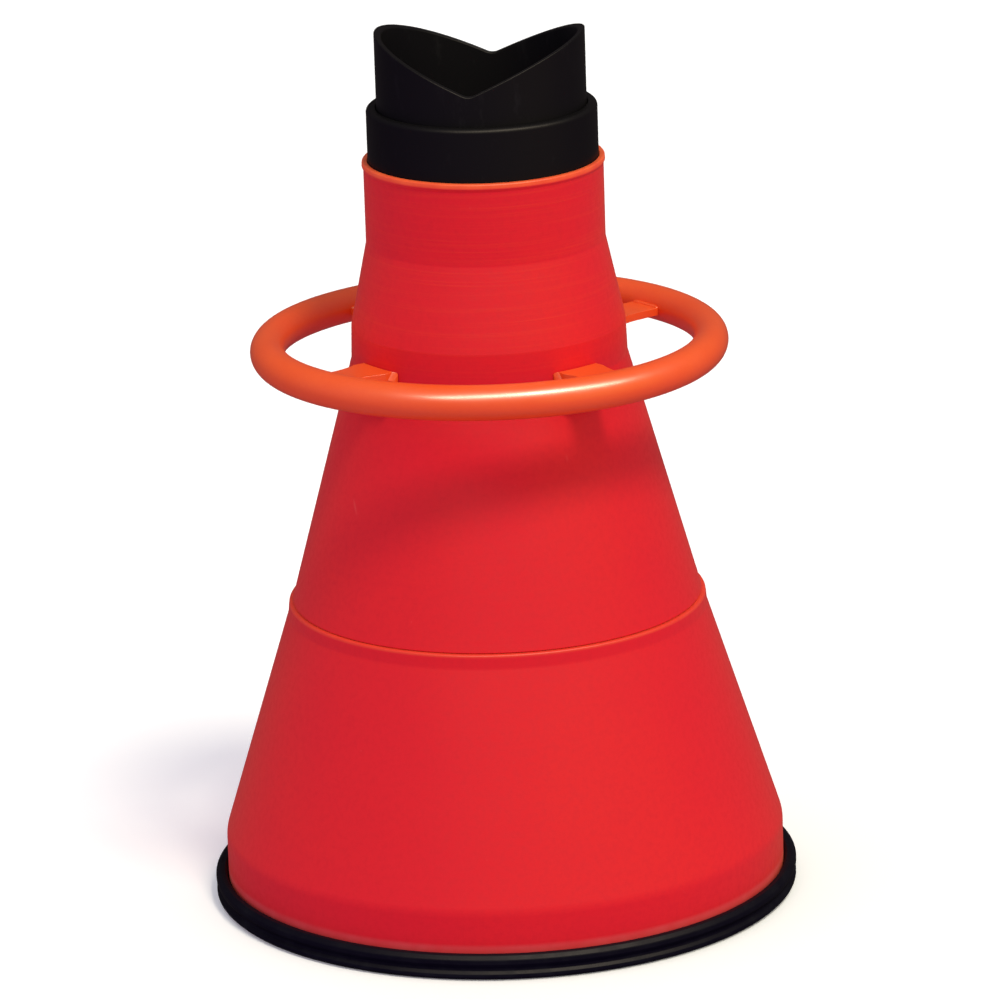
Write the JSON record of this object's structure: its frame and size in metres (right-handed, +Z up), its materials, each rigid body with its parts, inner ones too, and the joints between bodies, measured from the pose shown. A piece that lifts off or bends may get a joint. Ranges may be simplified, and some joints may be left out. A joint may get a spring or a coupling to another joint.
{
  "type": "traffic cone",
  "caption": "Round support cone on a rubber ring, with a carrying ring and a black V-notched cradle that turns in its neck and lifts out.",
  "frame": {"origin": "centre of the foot, on the surface the cone stands on", "axes": "+Z up along the cone's axis, +Y along the V notch"},
  "size_m": [0.455, 0.455, 0.6819],
  "materials": {
    "orange_plastic": "satin moulded, finely grained",
    "orange_paint": "gloss powder coat",
    "black_rubber": "matt moulded",
    "black_plastic": "satin extruded",
    "seal_rubber": "smooth",
    "zinc_steel": "zinc plated"
  },
  "bodies": {
    "cone": {"base_ring": "black_rubber", "lower_skirt": "orange_plastic", "upper_cone": "orange_plastic", "handle_ring": "orange_paint", "handle_lug_1": "orange_paint", "handle_lug_2": "orange_paint", "handle_lug_3": "orange_paint", "handle_lug_4": "orange_paint", "lug_bolt_1": "zinc_steel", "lug_bolt_2": "zinc_steel", "lug_bolt_3": "zinc_steel", "lug_bolt_4": "zinc_steel", "lug_bolt_5": "zinc_steel", "lug_bolt_6": "zinc_steel", "lug_bolt_7": "zinc_steel", "lug_bolt_8": "zinc_steel", "lug_nut_1": "zinc_steel", "lug_nut_2": "zinc_steel", "lug_nut_3": "zinc_steel", "lug_nut_4": "zinc_steel", "lug_nut_5": "zinc_steel", "lug_nut_6": "zinc_steel", "lug_nut_7": "zinc_steel", "lug_nut_8": "zinc_steel", "base_screw_1": "zinc_steel", "base_screw_2": "zinc_steel", "base_screw_3": "zinc_steel", "base_screw_4": "zinc_steel", "base_screw_5": "zinc_steel", "base_screw_6": "zinc_steel", "base_screw_7": "zinc_steel", "base_screw_8": "zinc_steel", "base_nut_1": "zinc_steel", "base_nut_2": "zinc_steel", "base_nut_3": "zinc_steel", "base_nut_4": "zinc_steel", "base_nut_5": "zinc_steel", "base_nut_6": "zinc_steel", "base_nut_7": "zinc_steel", "base_nut_8": "zinc_steel"},
    "sleeve": {"neck_sleeve": "black_plastic", "sleeve_seal": "seal_rubber"},
    "cradle": {"pole_cradle": "black_plastic"}
  },
  "joints": [
    {"name": "sleeve_lift", "type": "slide", "parent": "cone", "child": "sleeve", "axis": [0, 0, 1], "range_m": [0, 0.12]},
    {"name": "cradle_swivel", "type": "hinge", "parent": "sleeve", "child": "cradle", "pos_m": [0, 0, 0.6], "axis": [0, 0, 1], "continuous": true}
  ]
}
